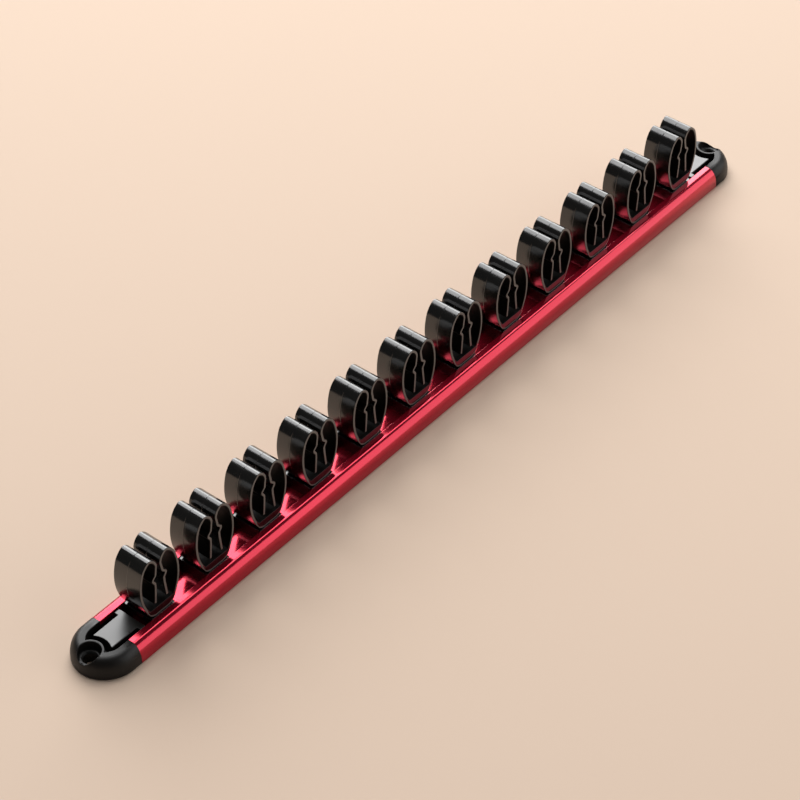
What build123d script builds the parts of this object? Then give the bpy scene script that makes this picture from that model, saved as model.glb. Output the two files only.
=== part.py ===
"""Bench rack for screwdrivers: a red aluminium rail, two end caps and a row of sliding spring clips.

Millimetres. +X runs along the rail, +Y across it and +Z up. The origin is on the table, under the
middle of the rail. Each clip is an egg-shaped spring that a screwdriver's shaft is pushed into from
above. It stands on a slider, whose flanges run in the rail's undercut channel, and a bowed leaf
under the slider rubs on the channel floor, so that the clip stays where it is pushed.
"""

import os
from math import radians, sin

from build123d import *

os.makedirs("parts", exist_ok=True)

# Rail
rail_length = 427.6
rail_width = 31.7
rail_height = 10.0
side_wall = 3.35
floor_thickness = 2.5
lip_thickness = 2.5
lip_reach = 4.0
lip_flat = 2.3
shoulder_foot = 2.0
lip_edge_radius = 0.35
channel_corner_radius = 0.3
underside_edge = 0.4

# End caps
cap_straight = 5.4
cap_floor = 3.2
screw_from_end = 6.0
screw_hole_radius = 2.9
counterbore_radius = 5.3
counterbore_depth = 4.5
screw_mouth = 0.9
boss_wall = 1.3
rim_edge_radius = 0.35
tongue_width = 11.5
tongue_drop = 0.8
tongue_gap = 2.8
tongue_neck = 8.1
head_length = 3.1
head_side_gap = 0.5
tongue_corner_radius = 0.8
tongue_tip_radius = 0.5
tongue_edge_radius = 0.4
plug_fit = 0.1
plug_floor = 2.0
plug_side = 3.0

# Row of clips
clip_count = 12
first_clip_from_end = 22.2
last_clip_from_end = 20.8

# Spring clip
clip_setback = 0.5
clip_wall = 1.4
roll_gap = 1.53
base_corner_radius = 4.6
flank_radius = 30.7
shoulder_radius = 9.8
crown_radius = 2.0
roll_radius = 6.3
clip_floor = 4.7
floor_corner_radius = 1.2
throat_gap = 2.4
mouth_gap = 3.2
groove_width = 7.2
leaf_gap_top = 4.2
leaf_gap_bottom = 6.0
groove_drop = 7.17
throat_rise = 4.5
groove_lip_rise = 1.9
groove_heel_drop = 2.3
leaf_knee_drop = 5.0
leaf_knee_gap = 4.3
leaf_end_gap = 2.4
bend_radius = 0.5
peg_length = 5.2
peg_width = 9.0
peg_depth = 3.2
peg_fit = 0.05

# Slider and its friction leaf
slider_length = 15.0
slider_side_gap = 0.2
slider_top_drop = 0.3
slider_corner_radius = 1.1
slider_top_edge = 0.3
flange_length = 12.0
flange_side_gap = 0.4
flange_height_gap = 0.3
leaf_thickness = 0.4
leaf_width = 6.0
leaf_length = 10.4
leaf_pocket_margin = 0.3
leaf_pocket_depth = 1.2
leaf_rub_gap = 0.05

# Worked out from the sizes above
rail_end = rail_length / 2
channel_width = rail_width - 2 * side_wall
slot_width = channel_width - 2 * lip_reach
flat_top_width = slot_width + 2 * lip_flat
lip_underside = rail_height - lip_thickness
clip_pitch = (rail_length - first_clip_from_end - last_clip_from_end) / (clip_count - 1)
cap_centre = rail_end + cap_straight
screw_place = cap_centre + rail_width / 2 - screw_from_end
boss_radius = counterbore_radius + boss_wall
slider_width = slot_width - 2 * slider_side_gap
slider_top = rail_height - slider_top_drop
clip_depth = slider_width - 2 * clip_setback
tongue_top = rail_height - tongue_drop
tongue_end_radius = boss_radius + tongue_gap
tongue_root = rail_end - tongue_neck
head_end = tongue_root - head_length
flange_bottom = floor_thickness + flange_height_gap
flange_top = lip_underside - flange_height_gap
outer_bend = bend_radius + clip_wall

# Turns of the egg's outline in degrees, from its flat base round the flank, shoulder, crown and roll.
# The flat base is as wide as leaves the roll gap between the two rolls.
lobe_turns = (58, 50, 42, 55, 63)
lobe_radii = (base_corner_radius, flank_radius, shoulder_radius, crown_radius, roll_radius)
lobe_reach = 0
heading = 0
for radius, turn in zip(lobe_radii, lobe_turns):
    lobe_reach += radius * (sin(radians(heading + turn)) - sin(radians(heading)))
    heading += turn
base_half_flat = roll_gap / 2 - lobe_reach


def shoulder_outline():
    """The outside that the rail and its caps share, from the edge of the flat top to the underside."""
    half_flat = flat_top_width / 2
    half_width = rail_width / 2
    shoulder_across = half_width - half_flat
    shoulder_height = rail_height - shoulder_foot
    shoulder = EllipticalCenterArc((half_flat, shoulder_foot), shoulder_across, shoulder_height, 0)
    side = Line(shoulder @ 0, (half_width, underside_edge))
    edge = Line(side @ 1, (half_width - underside_edge, 0))
    Line(edge @ 1, (0, 0))


def solid_outline():
    """Half of the caps' section: the shared outside, closed over a flat top."""
    shoulder_outline()
    Polyline((0, 0), (0, rail_height), (flat_top_width / 2, rail_height))


def lobe_arcs(inset):
    """Tangent arcs of the egg's right half, drawn a given distance inside its outer face."""
    place = Vector(base_half_flat, slider_top + inset)
    heading = Vector(1, 0)
    for radius, turn in zip(lobe_radii, lobe_turns):
        arc = JernArc(place, heading, radius - inset, turn)
        place = arc @ 1
        heading = arc % 1
    return place


def beside(points, distance):
    """The line that runs at a fixed distance to the left of a bent line, with mitred corners."""
    headings = [(b - a).normalized() for a, b in zip(points[:-1], points[1:])]
    sides = [Vector(-h.Y, h.X) for h in headings]
    shifted = [points[0] + sides[0] * distance]
    for point, before, after in zip(points[1:-1], sides[:-1], sides[1:]):
        shifted.append(point + (before + after) * (distance / (1 + before.dot(after))))
    shifted.append(points[-1] + sides[-1] * distance)
    return shifted


def leaf_points(start):
    """The leaf's face to the slot: down the throat, round the shaft groove and on to its free end."""
    groove_centre = start.Y - groove_drop
    leaf_end = slider_top + clip_floor + leaf_end_gap
    return [
        start,
        Vector(throat_gap / 2, groove_centre + throat_rise),
        Vector(mouth_gap / 2, groove_centre + groove_lip_rise),
        Vector(groove_width / 2, groove_centre),
        Vector(leaf_gap_top / 2, groove_centre - groove_heel_drop),
        Vector(leaf_knee_gap / 2, groove_centre - leaf_knee_drop),
        Vector(leaf_gap_bottom / 2, leaf_end),
    ]


# Rail: one extrusion, red anodised, with an undercut channel between two lips
with BuildPart() as rail:
    with BuildSketch(Plane.YZ):
        with BuildLine():
            shoulder_outline()
            FilletPolyline(
                (0, floor_thickness),
                (channel_width / 2, floor_thickness),
                (channel_width / 2, lip_underside),
                (slot_width / 2, lip_underside),
                (slot_width / 2, rail_height),
                (flat_top_width / 2, rail_height),
                radius=[channel_corner_radius] * 2 + [lip_edge_radius] * 2,
            )
            Line((0, floor_thickness), (0, 0))
        make_face()
        mirror(about=Plane.YZ)
    extrude(amount=rail_length / 2, both=True)
rail.part.label = "rail"
export_step(rail.part, "parts/rail.step")


# End cap: a moulded nose with a screw hole, a plug that slides into the rail's end and a tongue
# whose cross-shaped head stops the row of clips
with BuildPart() as end_cap:
    with BuildSketch(Plane.YZ.offset(rail_end)):
        with BuildLine():
            solid_outline()
        make_face()
        mirror(about=Plane.YZ)
    extrude(amount=cap_straight)

    nose_plane = Plane(origin=(cap_centre, 0, 0), x_dir=(0, 1, 0), z_dir=(1, 0, 0))
    with BuildSketch(nose_plane):
        with BuildLine():
            solid_outline()
        make_face()
    revolve(axis=Axis((cap_centre, 0, 0), (0, 0, -1)), revolution_arc=180)

    # The pocket carries the rail's slot on into the cap and goes round the screw boss
    with BuildSketch(Plane.XY.offset(cap_floor)) as pocket:
        with Locations((rail_end, 0)):
            Rectangle(cap_straight, slot_width, align=(Align.MIN, Align.CENTER))
        with Locations((cap_centre, 0)):
            Circle(slot_width / 2)
        with Locations((screw_place, 0)):
            Circle(boss_radius, mode=Mode.SUBTRACT)
        with Locations((rail_end, 0)):
            Rectangle(slot_width, slot_width, align=(Align.MAX, Align.CENTER), mode=Mode.SUBTRACT)
    extrude(amount=rail_height - cap_floor, mode=Mode.SUBTRACT)

    # Screw hole with a flat seat for the head, its mouth opened out in the seat
    with Locations((screw_place, 0, rail_height)):
        CounterBoreHole(screw_hole_radius, counterbore_radius, counterbore_depth, rail_height)
    seat_height = rail_height - counterbore_depth
    seat_edges = end_cap.edges().filter_by_position(Axis.Z, seat_height, seat_height)
    chamfer(seat_edges.filter_by(GeomType.CIRCLE).sort_by(SortBy.RADIUS)[0], screw_mouth)

    # The pocket's rim is eased
    top_edges = end_cap.faces().filter_by(Axis.Z).group_by(Axis.Z)[-1].edges()
    inner_edges = top_edges.filter_by_position(Axis.Y, -slot_width / 2, slot_width / 2)
    pocket_rim = inner_edges.filter_by_position(Axis.X, rail_end, screw_place, (False, True)).filter_by(
        lambda edge: edge.geom_type == GeomType.LINE or edge.radius > counterbore_radius
    )
    fillet(pocket_rim, rim_edge_radius)

    # Plug: a thin plate on the channel floor, with a rib under each lip
    plug_bottom = floor_thickness + plug_fit
    with BuildSketch(Plane.XY.offset(plug_bottom)):
        with Locations((tongue_root, 0)):
            plug_width = channel_width - 2 * plug_fit
            Rectangle(tongue_neck, plug_width, align=(Align.MIN, Align.CENTER))
    extrude(amount=plug_floor)
    rib_centre = (channel_width - plug_side) / 2 - plug_fit
    with BuildSketch(Plane.XY.offset(plug_bottom)):
        with Locations((tongue_root, rib_centre), (tongue_root, -rib_centre)):
            Rectangle(tongue_neck, plug_side, align=(Align.MIN, Align.CENTER))
    extrude(amount=lip_underside - plug_fit - plug_bottom)

    # Tongue: hollowed round the screw boss at its outer end, with a rounder upper edge
    with BuildPart(mode=Mode.PRIVATE) as tongue:
        with BuildSketch(Plane.XY.offset(plug_bottom)) as tongue_plan:
            with Locations((tongue_root, 0)):
                Rectangle(screw_place - tongue_root, tongue_width, align=(Align.MIN, Align.CENTER))
            with Locations((screw_place, 0)):
                Circle(tongue_end_radius, mode=Mode.SUBTRACT)
            with Locations((head_end, 0)):
                head_width = slot_width - 2 * head_side_gap
                Rectangle(head_length, head_width, align=(Align.MIN, Align.CENTER))
            fillet(tongue_plan.vertices().group_by(Axis.X)[0], tongue_corner_radius)
            fillet(tongue_plan.vertices().group_by(Axis.X)[-1], tongue_tip_radius)
        extrude(amount=tongue_top - plug_bottom)
        fillet(tongue.faces().sort_by(Axis.Z)[-1].edges(), tongue_edge_radius)
    add(tongue.part)

with BuildPart() as end_cap_left:
    add(mirror(end_cap.part, about=Plane.YZ, mode=Mode.PRIVATE))
end_cap.part.label = "end_cap_right"
end_cap_left.part.label = "end_cap_left"
export_step(end_cap.part, "parts/end_cap_right.step")
export_step(end_cap_left.part, "parts/end_cap_left.step")


# Spring clip: one moulding of even wall, its two lobes rolled over into leaves that face each other
with BuildPart() as spring_clip:
    with BuildSketch(Plane.XZ):
        with BuildLine() as outer_line:
            roll_end = lobe_arcs(0)
            slot_face = leaf_points(roll_end)
            slot_bends = [outer_bend, outer_bend, bend_radius, outer_bend, outer_bend]
            FilletPolyline(*slot_face, radius=slot_bends)
            leaf_end = slot_face[-1]
            Polyline(
                leaf_end,
                (0, leaf_end.Y),
                (0, slider_top),
                (base_half_flat, slider_top),
            )
        make_face()
    extrude(amount=clip_depth / 2, both=True)

    with BuildSketch(Plane.XZ) as hollow:
        with BuildLine():
            roll_inner_end = lobe_arcs(clip_wall)
            lobe_face = [roll_inner_end] + beside(slot_face, clip_wall)[1:]
            lobe_bends = [bend_radius, bend_radius, outer_bend, bend_radius, bend_radius]
            FilletPolyline(*lobe_face, radius=lobe_bends)
            Polyline(
                lobe_face[-1],
                leaf_end,
                (0, leaf_end.Y),
                (0, slider_top + clip_wall),
                (base_half_flat, slider_top + clip_wall),
            )
        make_face()
        with Locations((0, slider_top + clip_floor)):
            Rectangle(
                4 * flank_radius,
                4 * clip_floor,
                align=(Align.CENTER, Align.MAX),
                mode=Mode.SUBTRACT,
            )
        floor_corner = hollow.vertices().group_by(Axis.Y)[0].sort_by(Axis.X)[-1]
        fillet(floor_corner, floor_corner_radius)
    extrude(amount=clip_depth / 2, both=True, mode=Mode.SUBTRACT)
    mirror(about=Plane.YZ)

    # Peg under the base, pressed into the slider
    with BuildSketch(Plane.XY.offset(slider_top)):
        Rectangle(peg_length, peg_width)
    extrude(amount=-peg_depth)


# Slider: a block in the slot with flanges under both lips
with BuildPart() as slider:
    with BuildSketch(Plane.XY.offset(flange_bottom)):
        flange_width = channel_width - 2 * flange_side_gap
        Rectangle(flange_length, flange_width)
    extrude(amount=flange_top - flange_bottom)
    with BuildSketch(Plane.XY.offset(flange_bottom)):
        RectangleRounded(slider_length, slider_width, slider_corner_radius)
    extrude(amount=slider_top - flange_bottom)
    chamfer(slider.faces().sort_by(Axis.Z)[-1].edges(), slider_top_edge)
    with BuildSketch(Plane.XY.offset(slider_top)):
        Rectangle(peg_length + 2 * peg_fit, peg_width + 2 * peg_fit)
    extrude(amount=-(peg_depth + peg_fit), mode=Mode.SUBTRACT)
    with BuildSketch(Plane.XY.offset(flange_bottom)):
        Rectangle(leaf_length + 2 * leaf_pocket_margin, leaf_width + 2 * leaf_pocket_margin)
    extrude(amount=leaf_pocket_depth, mode=Mode.SUBTRACT)


# Friction leaf: a bowed strip of spring steel between the slider and the channel floor
with BuildPart() as friction_leaf:
    with BuildSketch(Plane.XZ):
        with BuildLine():
            leaf_seat = flange_bottom + leaf_pocket_depth
            leaf_low = floor_thickness + leaf_rub_gap
            half_leaf = leaf_length / 2
            lower = ThreePointArc(
                (-half_leaf, leaf_seat - leaf_thickness),
                (0, leaf_low),
                (half_leaf, leaf_seat - leaf_thickness),
            )
            upper = ThreePointArc(
                (-half_leaf, leaf_seat),
                (0, leaf_low + leaf_thickness),
                (half_leaf, leaf_seat),
            )
            Line(lower @ 0, upper @ 0)
            Line(lower @ 1, upper @ 1)
        make_face()
    extrude(amount=leaf_width / 2, both=True)


# The row: each clip, slider and leaf is a piece of its own
row_pieces = {"spring_clip": spring_clip, "slider": slider, "friction_leaf": friction_leaf}
for number in range(1, clip_count + 1):
    place = first_clip_from_end - rail_end + (number - 1) * clip_pitch
    for name, pattern in row_pieces.items():
        with BuildPart() as piece:
            with Locations((place, 0, 0)):
                add(pattern.part)
        piece.part.label = f"{name}_{number:02d}"
        export_step(piece.part, f"parts/{piece.part.label}.step")
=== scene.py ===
"""A rack for screwdrivers: a red anodised rail, two black end caps and a row of sliding clips."""

import bmesh
import bpy
import numpy as np
from mathutils import Matrix, Vector


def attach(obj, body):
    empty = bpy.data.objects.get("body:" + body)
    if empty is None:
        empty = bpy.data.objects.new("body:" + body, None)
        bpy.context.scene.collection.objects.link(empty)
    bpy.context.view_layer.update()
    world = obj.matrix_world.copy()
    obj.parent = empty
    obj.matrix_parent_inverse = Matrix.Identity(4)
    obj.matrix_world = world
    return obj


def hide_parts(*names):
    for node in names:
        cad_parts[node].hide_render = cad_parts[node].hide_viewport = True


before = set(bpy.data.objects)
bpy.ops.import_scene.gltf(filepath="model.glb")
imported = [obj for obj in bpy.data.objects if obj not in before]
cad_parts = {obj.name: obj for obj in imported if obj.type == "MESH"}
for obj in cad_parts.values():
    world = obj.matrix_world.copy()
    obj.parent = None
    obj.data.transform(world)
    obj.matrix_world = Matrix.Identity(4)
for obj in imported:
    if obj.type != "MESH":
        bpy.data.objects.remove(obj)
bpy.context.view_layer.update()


# ---- The rail ----
# One length of extruded aluminium, anodised red and gone over with a bright seal. Its flat lips
# stand over an undercut channel, and fine lines from the die run along it.

rail_half_length = 0.2138
rail_half_width = 0.01585
rail_height = 0.010
channel_half = 0.0125
slot_half = 0.0085
channel_floor = 0.0025
lip_underside = 0.0075
shoulder_start = 0.0108
shoulder_foot = 0.002
shoulder_steps = 33
saw_edge = 0.00012
saw_edge_steps = 3
lip_edge = 0.0002
channel_corner = 0.0003
foot_edge = 0.0004
shade_angle = 40

anodised_red = (0.52, 0.010, 0.036)
dyed_metal = 0.78
seal_weight = 0.45
seal_roughness = 0.08
seal_index = 1.55
die_line_stretch = (5.0, 1700.0, 1700.0)
die_line_roughness = (0.11, 0.18)
die_line_depth = 0.000003
dye_stretch = (14.0, 120.0, 120.0)
dye_strength = (0.94, 1.05)
usual_noise = (0.3, 0.7)


def rounded_chain(corners, radii, steps=6, lead=0.00004):
    """Points along a bent line whose inner corners are round. An arc touches both sides of its
    corner at the radius over the tangent of half the angle between them. Its points are weighted
    sums of its two end radii: the sine of the sweep that is left and the sine of the sweep that is
    done, each over the sine of the whole. One more point on each side, just clear of the arc, keeps
    the shading of the straight sides flat."""
    corners = np.asarray(corners, float)
    radii = np.asarray(radii, float)[:, None]
    here = corners[1:-1]
    back = corners[:-2] - here
    ahead = corners[2:] - here
    back /= np.linalg.norm(back, axis=1, keepdims=True)
    ahead /= np.linalg.norm(ahead, axis=1, keepdims=True)
    half_angle = np.arccos(np.clip((back * ahead).sum(1, keepdims=True), -1, 1)) / 2
    reach = radii / np.tan(half_angle)
    middle = back + ahead
    middle /= np.linalg.norm(middle, axis=1, keepdims=True)
    centre = here + middle * radii / np.sin(half_angle)
    first = (here + back * reach - centre)[:, None]
    last = (here + ahead * reach - centre)[:, None]
    sweep = (np.pi - 2 * half_angle)[:, None]
    done = np.linspace(0, 1, steps)[None, :, None]
    arcs = (np.sin((1 - done) * sweep) * first + np.sin(done * sweep) * last) / np.sin(sweep)
    arcs += centre[:, None]
    before = (here + back * (reach + lead))[:, None]
    after = (here + ahead * (reach + lead))[:, None]
    bends = np.concatenate([before, arcs, after], 1).reshape(-1, corners.shape[1])
    return np.concatenate([corners[:1], bends, corners[-1:]])


def face_outwards(mesh):
    """Turn every face of a closed mesh outwards."""
    shell = bmesh.new()
    shell.from_mesh(mesh)
    bmesh.ops.recalc_face_normals(shell, faces=shell.faces)
    shell.to_mesh(mesh)
    shell.free()


def lofted(name, rings):
    """A closed mesh through rings of points: quads join each ring to the next, and the first and
    last rings are filled. Faces that meet at less than the shade angle shade as one surface."""
    rings = np.asarray(rings, float)
    count, around, _ = rings.shape
    ring = np.arange(count - 1)[:, None] * around
    step = np.arange(around)[None, :]
    after = (step + 1) % around
    quads = np.stack([ring + step, ring + after, ring + around + after, ring + around + step], -1)
    ends = [list(range(around))[::-1], list(range((count - 1) * around, count * around))]
    mesh = bpy.data.meshes.new(name)
    mesh.from_pydata(rings.reshape(-1, 3).tolist(), [], quads.reshape(-1, 4).tolist() + ends)
    face_outwards(mesh)
    mesh.shade_smooth()
    mesh.set_sharp_from_angle(angle=np.radians(shade_angle))
    return mesh


def add_piece(name, mesh, material, body, node):
    """Put a mesh into the scene in place of the solid that it dresses."""
    piece = bpy.data.objects.new(name, mesh)
    bpy.context.scene.collection.objects.link(piece)
    mesh.materials.clear()
    mesh.materials.append(material)
    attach(piece, body)
    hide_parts(node)
    return piece


def new_material(name):
    """A new material with its node tree, its Principled shader and the object's coordinates."""
    material = bpy.data.materials.new(name)
    material.use_nodes = True
    tree = material.node_tree
    place = tree.nodes.new("ShaderNodeTexCoord")
    return material, tree, tree.nodes["Principled BSDF"], place.outputs["Object"]


def stretched_noise_group():
    """Shader group: fractal noise on object coordinates, each axis multiplied by its stretch.
    Height is the noise itself. Value is its usual span laid out evenly from Low to High."""
    group = bpy.data.node_groups.new("stretched noise", "ShaderNodeTree")
    sockets = group.interface
    sockets.new_socket("Place", in_out="INPUT", socket_type="NodeSocketVector")
    sockets.new_socket("Stretch", in_out="INPUT", socket_type="NodeSocketVector")
    for label, value in (("Detail", 3.0), ("Low", 0.0), ("High", 1.0)):
        socket = sockets.new_socket(label, in_out="INPUT", socket_type="NodeSocketFloat")
        socket.default_value = value
    for label in ("Height", "Value"):
        sockets.new_socket(label, in_out="OUTPUT", socket_type="NodeSocketFloat")
    nodes, link = group.nodes, group.links.new
    given = nodes.new("NodeGroupInput")
    result = nodes.new("NodeGroupOutput")
    stretch = nodes.new("ShaderNodeVectorMath")
    stretch.operation = "MULTIPLY"
    noise = nodes.new("ShaderNodeTexNoise")
    noise.inputs["Scale"].default_value = 1.0
    spread = nodes.new("ShaderNodeMapRange")
    spread.inputs["From Min"].default_value = usual_noise[0]
    spread.inputs["From Max"].default_value = usual_noise[1]
    link(given.outputs["Place"], stretch.inputs[0])
    link(given.outputs["Stretch"], stretch.inputs[1])
    link(stretch.outputs[0], noise.inputs["Vector"])
    link(given.outputs["Detail"], noise.inputs["Detail"])
    link(noise.outputs["Fac"], spread.inputs["Value"])
    link(given.outputs["Low"], spread.inputs["To Min"])
    link(given.outputs["High"], spread.inputs["To Max"])
    link(noise.outputs["Fac"], result.inputs["Height"])
    link(spread.outputs["Result"], result.inputs["Value"])
    return group


stretched_noise = stretched_noise_group()


def add_noise(tree, place, stretch, detail, low=0.0, high=1.0):
    """Place the stretched noise group in a material with its own values."""
    node = tree.nodes.new("ShaderNodeGroup")
    node.node_tree = stretched_noise
    tree.links.new(place, node.inputs["Place"])
    node.inputs["Stretch"].default_value = stretch
    node.inputs["Detail"].default_value = detail
    node.inputs["Low"].default_value = low
    node.inputs["High"].default_value = high
    return node


def add_bump(tree, height, shader, depth, under=None):
    """Feed a height of nothing to one into the shader's normal as a bump of a given depth in
    metres, laid over the bump under it where there is one."""
    bump = tree.nodes.new("ShaderNodeBump")
    bump.inputs["Strength"].default_value = 1.0
    bump.inputs["Distance"].default_value = depth
    tree.links.new(height, bump.inputs["Height"])
    if under is not None:
        tree.links.new(under.outputs["Normal"], bump.inputs["Normal"])
    tree.links.new(bump.outputs["Normal"], shader.inputs["Normal"])


def red_anodising():
    """Metal seen through a dyed layer that scatters a little, under a clear bright seal. The die's
    lines change the roughness and stand as a fine bump. The red is multiplied by the strength of
    the dye, which drifts along the rail."""
    material, tree, shader, place = new_material("red anodised aluminium")
    shader.inputs["Metallic"].default_value = dyed_metal
    shader.inputs["Coat Weight"].default_value = seal_weight
    shader.inputs["Coat Roughness"].default_value = seal_roughness
    shader.inputs["Coat IOR"].default_value = seal_index
    die_lines = add_noise(tree, place, die_line_stretch, 3.0, *die_line_roughness)
    tree.links.new(die_lines.outputs["Value"], shader.inputs["Roughness"])
    add_bump(tree, die_lines.outputs["Height"], shader, die_line_depth)
    dye = add_noise(tree, place, dye_stretch, 2.0, *dye_strength)
    shade = tree.nodes.new("ShaderNodeVectorMath")
    shade.operation = "SCALE"
    shade.inputs[0].default_value = anodised_red
    tree.links.new(dye.outputs["Value"], shade.inputs["Scale"])
    tree.links.new(shade.outputs[0], shader.inputs["Base Color"])
    return material


def rail_section():
    """The rail's closed outline, across and up. One half goes from the middle of the channel's
    floor round the lip, down the shoulder, which is a quarter of an ellipse, and round the foot to
    the middle of the underside. The other half is its mirror image."""
    inside = rounded_chain(
        [
            (0, channel_floor),
            (channel_half, channel_floor),
            (channel_half, lip_underside),
            (slot_half, lip_underside),
            (slot_half, rail_height),
            (shoulder_start, rail_height),
        ],
        [channel_corner, channel_corner, lip_edge, lip_edge],
    )
    turn = np.linspace(np.pi / 2, 0, shoulder_steps + 1)[1:]
    across = shoulder_start + (rail_half_width - shoulder_start) * np.cos(turn)
    up = shoulder_foot + (rail_height - shoulder_foot) * np.sin(turn)
    shoulder = np.stack([across, up], -1)
    foot_corners = [(rail_half_width, shoulder_foot), (rail_half_width, 0), (0, 0)]
    foot = rounded_chain(foot_corners, [foot_edge])
    half = np.concatenate([inside, shoulder, foot[1:]])
    mirrored = half[::-1][1:-1] * (-1, 1)
    return np.concatenate([half, mirrored])


def inward_normals(outline):
    """For each point of a closed outline, the mean of its two sides' directions, turned a quarter
    turn to the left or the right by the sign of the area that the outline goes round."""
    before = outline - np.roll(outline, 1, 0)
    after = np.roll(outline, -1, 0) - outline
    before /= np.linalg.norm(before, axis=1, keepdims=True)
    after /= np.linalg.norm(after, axis=1, keepdims=True)
    along = before + after
    along /= np.linalg.norm(along, axis=1, keepdims=True)
    x, y = outline.T
    area = np.sum(x * np.roll(y, -1) - y * np.roll(x, -1))
    return np.stack([-along[:, 1], along[:, 0]], -1) * np.sign(area)


def rail_rings():
    """The outline at each station along the rail. At both ends it is drawn in along a quarter
    circle, as the edge that the saw left is eased."""
    outline = rail_section()
    turn = np.linspace(0, np.pi / 2, saw_edge_steps + 1)
    station = rail_half_length - saw_edge * (1 - np.cos(turn))
    inset = saw_edge * (1 - np.sin(turn))
    station = np.concatenate([-station, station[::-1]])
    inset = np.concatenate([inset, inset[::-1]])
    rings = np.empty((len(station), len(outline), 3))
    rings[..., 0] = station[:, None]
    rings[..., 1:] = outline + inward_normals(outline) * inset[:, None, None]
    return rings


rail_mesh = lofted("rail_extrusion", rail_rings())
add_piece("rail_extrusion", rail_mesh, red_anodising(), "rack", "rail")


# ---- The end caps ----
# Two black mouldings, a mirror pair, that are pushed into the rail's ends. The solid already has
# the pocket, the screw boss and the tongue, so its faces are joined up and shaded smooth.

screw_place = 0.22905
counterbore_radius = 0.0053
seat_mouth_radius = 0.0038
screw_seat = 0.0057
boss_radius = 0.0066
tongue_top = 0.0092
tongue_edge = 0.0004
hole_rim_round = 0.0004
join_distance = 0.000025
on_circle = 0.00002
cap_shade_angle = 50
looks_up = 0.1

cap_black = (0.0045, 0.0038, 0.0032, 1.0)
gloss_stretch = (160.0, 160.0, 160.0)
gloss_drift = (-0.03, 0.04)
grain_stretch = (5200.0, 5200.0, 5200.0)


def black_moulding(name, colour, roughness, index, grain_depth):
    """Black plastic: a fine moulded grain, and slow changes in gloss as on any moulded skin."""
    material, tree, shader, place = new_material(name)
    shader.inputs["Base Color"].default_value = colour
    shader.inputs["IOR"].default_value = index
    smoothest, roughest = roughness + gloss_drift[0], roughness + gloss_drift[1]
    gloss = add_noise(tree, place, gloss_stretch, 3.0, smoothest, roughest)
    tree.links.new(gloss.outputs["Value"], shader.inputs["Roughness"])
    grain = add_noise(tree, place, grain_stretch, 2.0)
    add_bump(tree, grain.outputs["Height"], shader, grain_depth)
    return material


def joined_copy(node, name):
    """A copy of a solid's mesh, its loose triangles joined and shaded smooth but for corners."""
    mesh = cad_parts[node].data.copy()
    mesh.name = name
    shell = bmesh.new()
    shell.from_mesh(mesh)
    bmesh.ops.remove_doubles(shell, verts=shell.verts, dist=join_distance)
    shell.to_mesh(mesh)
    shell.free()
    mesh.shade_smooth()
    mesh.set_sharp_from_angle(angle=np.radians(cap_shade_angle))
    return mesh


def mark_hole_rim(mesh, way):
    """Mark edges by how far their two ends are from the screw's axis: the root of the sum of the
    squares of y and of x less the screw's place. Those on the counterbore's rim, above the seat of
    the screw's head, get a bevel weight of one. Those round the hole's mouth in the seat are
    sharp."""
    places = np.empty(len(mesh.vertices) * 3)
    mesh.vertices.foreach_get("co", places)
    x, y, z = places.reshape(-1, 3).T
    from_axis = np.hypot(x - way * screw_place, y)
    on_rim = (np.abs(from_axis - counterbore_radius) < on_circle) & (z > screw_seat)
    on_mouth = np.abs(from_axis - seat_mouth_radius) < on_circle
    pairs = np.empty(len(mesh.edges) * 2, int)
    mesh.edges.foreach_get("vertices", pairs)
    pairs = pairs.reshape(-1, 2)
    weight = on_rim[pairs].all(1).astype(float)
    mesh.attributes.new("bevel_weight_edge", "FLOAT", "EDGE").data.foreach_set("value", weight)
    sharp = np.empty(len(mesh.edges), bool)
    mesh.attributes["sharp_edge"].data.foreach_get("value", sharp)
    mesh.attributes["sharp_edge"].data.foreach_set("value", sharp | on_mouth[pairs].all(1))


def round_marked_edges(piece, width):
    """Round the marked edges, and let wide faces rule the shading of narrow ones beside them."""
    rounding = piece.modifiers.new("rounded rim", "BEVEL")
    rounding.width = width
    rounding.segments = 3
    rounding.limit_method = "WEIGHT"
    rounding.use_clamp_overlap = False
    shading = piece.modifiers.new("even shading", "WEIGHTED_NORMAL")
    shading.keep_sharp = True


def smooth_tongue(mesh, smooth):
    """Give the tongue's top and its round edges the smoother skin: the faces that look up, from the
    tongue's height down to the foot of its round edges, between the screw's boss and the lips."""
    centre = np.empty(len(mesh.polygons) * 3)
    normal = np.empty(len(mesh.polygons) * 3)
    mesh.polygons.foreach_get("center", centre)
    mesh.polygons.foreach_get("normal", normal)
    x, y, z = np.abs(centre.reshape(-1, 3)).T
    level = (z > tongue_top - tongue_edge) & (z < tongue_top + on_circle)
    inside = (x < screw_place - boss_radius) & (y < slot_half)
    upward = normal[2::3] > looks_up
    mesh.materials.append(smooth)
    mesh.polygons.foreach_set("material_index", (level & inside & upward).astype(int))


cap_plastic = black_moulding(
    "satin black moulding", cap_black, roughness=0.42, index=1.36, grain_depth=0.0000035
)
tongue_plastic = black_moulding(
    "smooth black moulding", cap_black, roughness=0.30, index=1.7, grain_depth=0.0000020
)
for side, way in (("left", -1), ("right", 1)):
    cap_mesh = joined_copy(f"end_cap_{side}", f"cap_moulding_{side}")
    mark_hole_rim(cap_mesh, way)
    cap = add_piece(f"cap_moulding_{side}", cap_mesh, cap_plastic, "rack", f"end_cap_{side}")
    round_marked_edges(cap, hole_rim_round)
    smooth_tongue(cap_mesh, tongue_plastic)


# ---- The spring clips ----
# Each is one glossy black moulding of even wall: an egg whose two lobes roll over at the top into
# leaves that face each other. Facing V grooves in the leaves hold a shaft laid across the rail. A
# peg under the foot is pressed into a slider.

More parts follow.
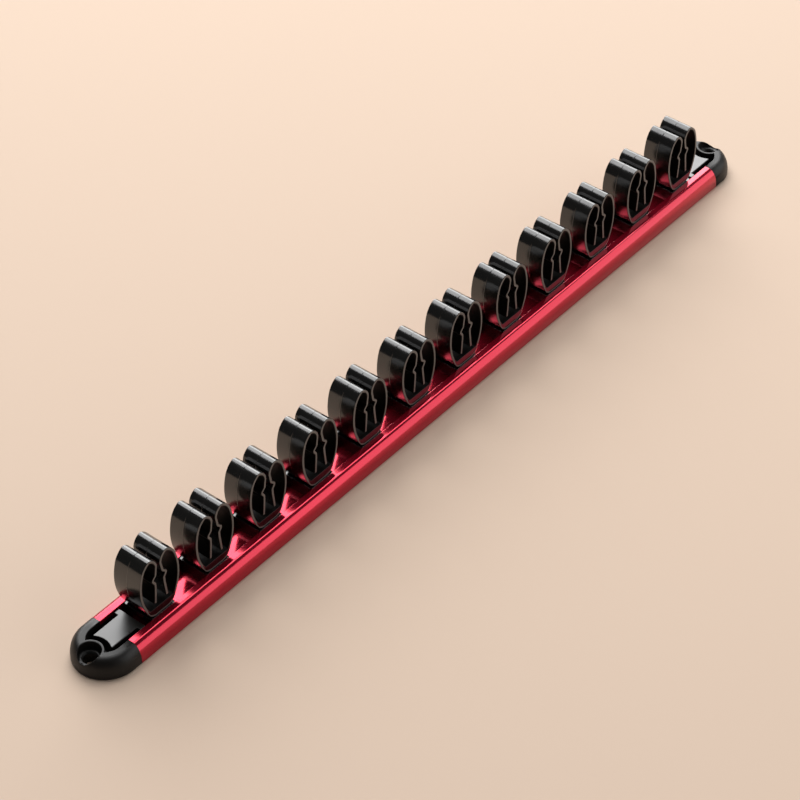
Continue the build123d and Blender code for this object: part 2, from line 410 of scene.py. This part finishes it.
clip_count = 12
first_clip = -0.1916
last_clip = 0.1930
clip_half_depth = 0.0078
clip_foot = 0.0097
foot_half_flat = 0.0036
foot_steps = 5
clip_wall = 0.0014
clip_floor = 0.0144
floor_corner_rise = 0.0016
floor_corner_radius = 0.0012
wall_edge = 0.00026
tip_steps = 3
leaf_bend = 0.0005
rim_fade = (0.00012, 0.000012)
foot_thickness = 0.00154
lobe_arcs = ((4.6, 58, 14), (30.7, 50, 16), (9.8, 42, 14), (2.0, 55, 12), (6.3, 63, 16))
leaf_line = (
    (0.0012, 0.0350),
    (0.0016, 0.0324),
    (0.0036, 0.0305),
    (0.0021, 0.0282),
    (0.00215, 0.0255),
    (0.0030, 0.0168),
)

clip_black = (0.0030, 0.0024, 0.0019, 1.0)
# Painted shade: a darker black for the clips' inner faces, for the shade in their hollow.
inside_painted_shade = (0.0016, 0.0012, 0.0009, 1.0)
# Painted sheen: a paler colour for the clips' end faces, standing in for the light they catch.
end_face_painted_sheen = (0.088, 0.078, 0.070, 1.0)
end_face_roughness = 0.5
sheen_fade = (0.00012, 0.00003)
ridge_half_width = 0.00022
ridge_height = 0.00006


def lobe_line(inset):
    """Right half of the egg from its flat foot to the end of its roll, a distance inside its outer
    face: five tangent arcs, each given by its radius in millimetres, its turn in degrees and its
    number of steps. An arc's centre lies a radius to the left of where the line is heading, and the
    heading turns by the arc's angle."""
    place = np.array([foot_half_flat, clip_foot + inset])
    heading = 0.0
    pieces = [place[None]]
    for radius, turn, steps in lobe_arcs:
        reach = radius / 1000 - inset
        centre = place + reach * np.array([-np.sin(heading), np.cos(heading)])
        angles = heading + np.radians(turn) * np.linspace(0, 1, steps + 1)[1:]
        arc = centre + reach * np.stack([np.sin(angles), -np.cos(angles)], -1)
        pieces.append(arc)
        place = arc[-1]
        heading = angles[-1]
    return np.concatenate(pieces)


def beside(points, distance):
    """A bent line's neighbour at a fixed distance to its left. At a corner it goes out along the
    sum of the two sides' normals over one more than their dot product, which mitres the corner."""
    along = np.diff(points, axis=0)
    along /= np.linalg.norm(along, axis=1, keepdims=True)
    side = np.stack([-along[:, 1], along[:, 0]], -1)
    joint = (side[:-1] + side[1:]) / (1 + (side[:-1] * side[1:]).sum(1, keepdims=True))
    return points + distance * np.concatenate([side[:1], joint, side[-1:]])


def respaced(points, count):
    """The same line with its points set evenly along its length, each between its two neighbours in
    proportion to the length run."""
    run = np.concatenate([[0], np.cumsum(np.linalg.norm(np.diff(points, axis=0), axis=1))])
    even = np.linspace(0, run[-1], count)
    return np.stack([np.interp(even, run, points[:, k]) for k in range(points.shape[1])], -1)


def clip_faces():
    """The moulding's outer and inner faces as two lines of equally many points, from the free end
    of the left leaf round the egg to the free end of the right one. The foot is thicker than the
    wall: below the egg's floor the inner face follows the floor."""
    outer_lobe = lobe_line(0.0)
    inner_lobe = lobe_line(clip_wall)
    slot_side = np.concatenate([outer_lobe[-1:], leaf_line])
    lobe_side = beside(slot_side, clip_wall)
    lobe_side[0] = inner_lobe[-1]
    tight, wide = leaf_bend, leaf_bend + clip_wall
    slot_side = rounded_chain(slot_side, [wide, wide, tight, wide, wide])
    lobe_side = rounded_chain(lobe_side, [tight, tight, wide, tight, tight])
    wall_starts = int(np.argmax(inner_lobe[:, 1] > clip_floor + floor_corner_rise))
    below = inner_lobe[: wall_starts + 1]
    corner = (np.interp(clip_floor, below[:, 1], below[:, 0]), clip_floor)
    floor = rounded_chain([(0, clip_floor), corner, below[-1]], [floor_corner_radius], steps=8)
    foot_line = np.linspace((0, clip_foot), outer_lobe[0], foot_steps + 1)[:-1]
    foot = np.concatenate([foot_line, outer_lobe[: wall_starts + 1]])
    floor = respaced(floor, len(foot))
    outer = np.concatenate([foot, outer_lobe[wall_starts + 1 :], slot_side[1:]])
    inner = np.concatenate([floor, inner_lobe[wall_starts + 1 :], lobe_side[1:]])
    mirror = np.array([-1, 1])
    outer = np.concatenate([outer[::-1] * mirror, outer[1:]])
    inner = np.concatenate([inner[::-1] * mirror, inner[1:]])
    return outer, inner


def wall_ring(half_depth, edge, steps=5, lead=0.00003):
    """The wall's section, a rectangle whose corners are quarter circles, as four arrays: which face
    a point belongs to, its depth under that face, its place across the rail, and the rim's mask.
    The mask falls from one to nothing at an even wall's thickness from the outer face, so where the
    wall is thicker the rim ends inside its end faces. The section's two halves meet in the middle
    of the outer and of the inner face, and one point of each of those pairs is left out."""
    turn = np.linspace(0, np.pi / 2, steps)
    rim = clip_wall - edge - lead - np.array(rim_fade)
    under = np.concatenate([[0, 0], edge * (1 - np.cos(turn)), [edge + lead]])
    across = half_depth - edge + edge * np.sin(turn)
    across = np.concatenate([[0, half_depth - edge - lead], across, [half_depth]])
    quarter = len(under)
    face = np.concatenate([np.zeros(quarter + 2), np.ones(2 * quarter), np.zeros(quarter + 2)])
    under = np.concatenate([under, rim, under[::-1], under, rim[::-1], under[::-1]])
    flat = np.full(2, half_depth)
    across = np.concatenate([across, flat, across[::-1], -across, -flat, -across[::-1]])
    on_rim = np.concatenate([np.ones(quarter + 1), np.zeros(2 * quarter + 2), np.ones(quarter + 1)])
    keep = np.ones(len(face), bool)
    keep[[2 * quarter + 2, 4 * quarter + 3]] = False
    return face[keep], under[keep], across[keep], on_rim[keep]


def clip_rings():
    """The wall's section carried round the egg: each point lies between the outer and the inner
    face by its share of the thickness there. Over the free ends the section is drawn in along a
    quarter circle. Also the rim's mask for each point, which is one all over where the wall is
    even, and which sides of the section lie on the inner face."""
    outer, inner = clip_faces()
    face, under, across, on_rim = wall_ring(clip_half_depth, wall_edge)
    thick = np.linalg.norm(inner - outer, axis=1)[:, None]
    rim = np.where(thick > foot_thickness, on_rim, 1.0)
    share = np.where(face > 0, 1 - under / thick, under / thick)[..., None]
    middle = outer[:, None] * (1 - share) + inner[:, None] * share
    across = np.broadcast_to(across, middle.shape[:2])
    rings = np.stack([middle[..., 0], across, middle[..., 1]], -1)
    turn = np.linspace(0, np.pi / 2, tip_steps + 1)[1:, None, None]
    draw = wall_edge * (1 - np.cos(turn))
    run_on = wall_edge * (np.sin(turn) - 1)
    tips = []
    for tip, towards in ((0, 1), (-1, -2)):
        centre = rings[tip].mean(0)
        along = centre - rings[towards].mean(0)
        along /= np.linalg.norm(along)
        spread = rings[tip] - centre
        tips.append(centre + spread * (1 - draw / np.abs(spread).max(0)) + along * run_on)
        rings[tip] -= along * wall_edge
    on_tip = np.ones((tip_steps, rim.shape[1]))
    rings = np.concatenate([tips[0][::-1], rings, tips[1]])
    inner_side = (face > 0) & (np.roll(face, -1) > 0)
    return rings, np.concatenate([on_tip, rim, on_tip]), inner_side


def off_middle(tree, place):
    """How far a point is from the middle of the rail: its place across the rail, less its sign."""
    parts = tree.nodes.new("ShaderNodeSeparateXYZ")
    tree.links.new(place, parts.inputs[0])
    out = tree.nodes.new("ShaderNodeMath")
    out.operation = "ABSOLUTE"
    tree.links.new(parts.outputs["Y"], out.inputs[0])
    return out.outputs[0]


def paint_end_face_sheen(tree, distance, shader, skin, sheen_colour):
    """Mix from the skin's colour and gloss to a painted sheen on the end faces, a paler colour that
    stands in for the light they catch, and a duller gloss. The mix goes by the product of two
    masks:
    one that rises as the distance from the middle comes to the end faces, and the mesh's rim."""
    at_end = tree.nodes.new("ShaderNodeMapRange")
    at_end.inputs["From Min"].default_value = clip_half_depth - sheen_fade[0]
    at_end.inputs["From Max"].default_value = clip_half_depth - sheen_fade[1]
    tree.links.new(distance, at_end.inputs["Value"])
    rim = tree.nodes.new("ShaderNodeAttribute")
    rim.attribute_name = "rim"
    sheen_here = tree.nodes.new("ShaderNodeMath")
    sheen_here.operation = "MULTIPLY"
    tree.links.new(at_end.outputs["Result"], sheen_here.inputs[0])
    tree.links.new(rim.outputs["Fac"], sheen_here.inputs[1])
    colour = tree.nodes.new("ShaderNodeMix")
    colour.data_type = "RGBA"
    colour.inputs["A"].default_value = skin
    colour.inputs["B"].default_value = sheen_colour
    tree.links.new(sheen_here.outputs[0], colour.inputs["Factor"])
    tree.links.new(colour.outputs["Result"], shader.inputs["Base Color"])
    gloss = shader.inputs["Roughness"].links[0].from_socket
    dull = tree.nodes.new("ShaderNodeMix")
    dull.inputs["B"].default_value = end_face_roughness
    tree.links.new(sheen_here.outputs[0], dull.inputs["Factor"])
    tree.links.new(gloss, dull.inputs["A"])
    tree.links.new(dull.outputs["Result"], shader.inputs["Roughness"])


def parting_line(tree, distance, shader):
    """Raise a fine ridge where the two halves of the mould met, round the middle of the moulding:
    its height falls smoothly from one to nothing with the distance from the middle."""
    ridge = tree.nodes.new("ShaderNodeMapRange")
    ridge.interpolation_type = "SMOOTHSTEP"
    ridge.inputs["From Min"].default_value = 0.0
    ridge.inputs["From Max"].default_value = ridge_half_width
    ridge.inputs["To Min"].default_value = 1.0
    ridge.inputs["To Max"].default_value = 0.0
    tree.links.new(distance, ridge.inputs["Value"])
    grain = shader.inputs["Normal"].links[0].from_node
    add_bump(tree, ridge.outputs["Result"], shader, ridge_height, under=grain)


def clip_skin():
    """The clips' glossy black moulding, with a painted sheen of paler colour on its end faces and
    its mould's parting line.
    """
    material = black_moulding(
        "gloss black moulding", clip_black, roughness=0.17, index=1.72, grain_depth=0.0000016
    )
    tree = material.node_tree
    shader = tree.nodes["Principled BSDF"]
    distance = off_middle(tree, tree.nodes["Texture Coordinate"].outputs["Object"])
    paint_end_face_sheen(tree, distance, shader, clip_black, end_face_painted_sheen)
    parting_line(tree, distance, shader)
    return material


clip_plastic = clip_skin()
# The inside's skin: a darker black than the outside, as painted shade in the clip's hollow.
shaded_inside_plastic = black_moulding(
    "matt black inside, painted shade", inside_painted_shade, roughness=0.42, index=1.25, grain_depth=0.0000030
)
clip_places = np.linspace(first_clip, last_clip, clip_count)
one_clip, rim_mask, inner_side = clip_rings()
# Each band of faces between two rings has the inside's skin, a darker black as painted shade, on
# the inner face. The fills of the first and the last ring have the outer skin.
skins = np.append(np.tile(inner_side.astype(int), len(one_clip) - 1), [0, 0])
for number, x in enumerate(clip_places, 1):
    body, node = f"clip_{number:02d}", f"spring_clip_{number:02d}"
    mesh = lofted(f"clip_moulding_{number:02d}", one_clip + (x, 0, 0))
    # The rim mask says where the end faces take their painted sheen.
    mesh.attributes.new("rim", "FLOAT", "POINT").data.foreach_set("value", rim_mask.ravel())
    add_piece(mesh.name, mesh, clip_plastic, body, node)
    mesh.materials.append(shaded_inside_plastic)
    mesh.polygons.foreach_set("material_index", skins)


# ---- The sliders ----
# The moulded black block that each clip's peg is pressed into. It stands in the slot, with rounded
# upright corners, and its flanges run under both of the rail's lips.

slider_half_length = 0.0075
slider_half_width = 0.0083
slider_foot = 0.0028
slider_top = 0.0097
block_corner = 0.0006
block_edge = 0.00012
flange_half_length = 0.0060
flange_half_width = 0.0121
flange_top = 0.0072
flange_corner = 0.0005
flange_edge = 0.0002
corner_steps = 8
edge_steps = 5


def block_rings(half_length, half_width, low, high, corner, edge):
    """A block with round upright corners: its plan is a rectangle with a quarter circle at each
    corner, and it is carried from the underside to the top, drawn in along a quarter circle at
    both."""
    turn = np.linspace(0, np.pi / 2, edge_steps + 1)
    rise = edge * (1 - np.sin(turn))
    draw = edge * (1 - np.cos(turn))
    height = np.concatenate([low + rise[::-1], high - rise])
    draw = np.concatenate([draw[::-1], draw])
    angles = np.linspace(0, np.pi / 2, corner_steps + 1) + np.arange(4)[:, None] * np.pi / 2
    arcs = np.stack([np.cos(angles), np.sin(angles)], -1)
    signs = np.array([(1, 1), (-1, 1), (-1, -1), (1, -1)])
    centres = signs * (half_length - corner, half_width - corner)
    plans = centres[:, None] + arcs * (corner - draw)[:, None, None, None]
    plans = plans.reshape(len(draw), -1, 2)
    up = np.broadcast_to(height[:, None, None], (*plans.shape[:2], 1))
    return np.concatenate([plans, up], -1)


def slider_mesh(name, x):
    """The block and its two flanges, closed shells that run into each other, as one mesh."""
    block_size = (slider_half_length, slider_half_width, slider_foot, slider_top)
    flange_size = (flange_half_length, flange_half_width, slider_foot, flange_top)
    block = lofted(name, block_rings(*block_size, block_corner, block_edge) + (x, 0, 0))
    flange = lofted(name, block_rings(*flange_size, flange_corner, flange_edge) + (x, 0, 0))
    both = bmesh.new()
    both.from_mesh(block)
    both.from_mesh(flange)
    both.to_mesh(block)
    both.free()
    bpy.data.meshes.remove(flange)
    return block


slider_plastic = black_moulding(
    "gloss black slider", clip_black, roughness=0.12, index=1.8, grain_depth=0.0000010
)
for number, x in enumerate(clip_places, 1):
    body, node = f"clip_{number:02d}", f"slider_{number:02d}"
    mesh = slider_mesh(f"slider_block_{number:02d}", x)
    add_piece(mesh.name, mesh, slider_plastic, body, node)


# ---- The friction leaves ----
# A bowed strip of bright spring steel under each slider. It rubs on the channel's floor, so that a
# clip stays where it is pushed. Its solid has the right shape and takes this steel.

bright_steel = (0.56, 0.56, 0.57, 1.0)
rolled_stretch = (40.0, 6000.0, 6000.0)
rolled_roughness = (0.22, 0.38)
rolled_depth = 0.000001


def spring_steel():
    """Bright steel strip, with the fine lines along it that rolling leaves."""
    material, tree, shader, place = new_material("bright spring steel")
    shader.inputs["Base Color"].default_value = bright_steel
    shader.inputs["Metallic"].default_value = 1.0
    rolled = add_noise(tree, place, rolled_stretch, 2.0, *rolled_roughness)
    tree.links.new(rolled.outputs["Value"], shader.inputs["Roughness"])
    add_bump(tree, rolled.outputs["Height"], shader, rolled_depth)
    return material


steel = spring_steel()
for number in range(1, clip_count + 1):
    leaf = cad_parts[f"friction_leaf_{number:02d}"]
    for slot in leaf.material_slots:
        slot.material = steel


# ---- The studio ----
# A plain pale floor. A tall window's light comes from behind the rack in three soft boxes, with a
# weaker wide one on the camera's side and a long one overhead. The camera stands where the
# photograph was taken from.

floor_half = 6.0
floor_colour = (0.52, 0.40, 0.312, 1.0)
floor_roughness = 0.9
room_light = 0.08
# Each soft box: its name, the direction it stands in, the line of its long side, and its distance,
# length, height and radiance.
soft_boxes = (
    ("window_low", (0.754, 0.605, 0.258), (-0.275, 0.0, 0.961), 2.6, 2.05, 2.0, 5.2),
    ("window_middle", (0.452, 0.629, 0.633), (-0.819, 0.0, 0.574), 2.6, 1.6, 2.9, 5.2),
    ("window_high", (-0.060, 0.480, 0.874), (-0.998, 0.0, -0.068), 2.6, 1.6, 0.75, 5.2),
    ("window_front", (0.57, -0.71, 0.38), (0.8, 0.6, 0.0), 2.6, 3.4, 2.2, 1.7),
    ("overhead", (0.40, 0.07, 0.91), (0.91, 0.0, -0.40), 4.0, 4.3, 1.25, 3.5),
)
camera_place = (-0.76222, -0.63036, 0.88960)
camera_right = (0.63998, -0.76830, -0.01177)
camera_up = (0.52151, 0.42305, 0.74098)
camera_back = (-0.56432, -0.48035, 0.67142)
sensor_width = 36.0
focal_length = 125.853
nearest_seen = 0.01


def add_floor():
    """The floor: one flat square on the stage, painted in a pale matt colour."""
    mesh = bpy.data.meshes.new("studio_floor")
    corners = [(x * floor_half, y * floor_half, 0) for x, y in ((-1, -1), (1, -1), (1, 1), (-1, 1))]
    mesh.from_pydata(corners, [], [(0, 1, 2, 3)])
    plane = bpy.data.objects.new("studio_floor", mesh)
    bpy.context.scene.collection.objects.link(plane)
    paint = bpy.data.materials.new("pale floor")
    paint.use_nodes = True
    shader = paint.node_tree.nodes["Principled BSDF"]
    shader.inputs["Base Color"].default_value = floor_colour
    shader.inputs["Roughness"].default_value = floor_roughness
    mesh.materials.append(paint)


def stand(thing, right, up, back, place):
    """Put a lamp or the camera at a place, with its own three axes along the three given ones."""
    turned = Matrix((right, up, back)).transposed().to_4x4()
    turned.translation = place
    thing.matrix_world = turned


def soft_box(name, centre, along, distance, length, height, radiance):
    """A rectangular lamp that faces the rack from a direction, its long side set along a line. Its
    power is pi times its area times the radiance."""
    lamp = bpy.data.lights.new(name, "AREA")
    lamp.shape = "RECTANGLE"
    lamp.size = length
    lamp.size_y = height
    lamp.energy = np.pi * length * height * radiance
    holder = bpy.data.objects.new(name, lamp)
    bpy.context.scene.collection.objects.link(holder)
    out = Vector(centre).normalized()
    side = Vector(along)
    side = (side - out * side.dot(out)).normalized()
    stand(holder, side, out.cross(side), out, out * distance)


add_floor()
for box in soft_boxes:
    soft_box(*box)
world = bpy.data.worlds.new("room")
world.use_nodes = True
world.node_tree.nodes["Background"].inputs["Color"].default_value = (1, 1, 1, 1)
world.node_tree.nodes["Background"].inputs["Strength"].default_value = room_light
bpy.context.scene.world = world

lens = bpy.data.cameras.new("camera")
lens.sensor_width = sensor_width
lens.lens = focal_length
lens.clip_start = nearest_seen
camera = bpy.data.objects.new("camera", lens)
bpy.context.scene.collection.objects.link(camera)
stand(camera, camera_right, camera_up, camera_back, camera_place)
bpy.context.scene.camera = camera
bpy.context.scene.view_settings.view_transform = "Standard"
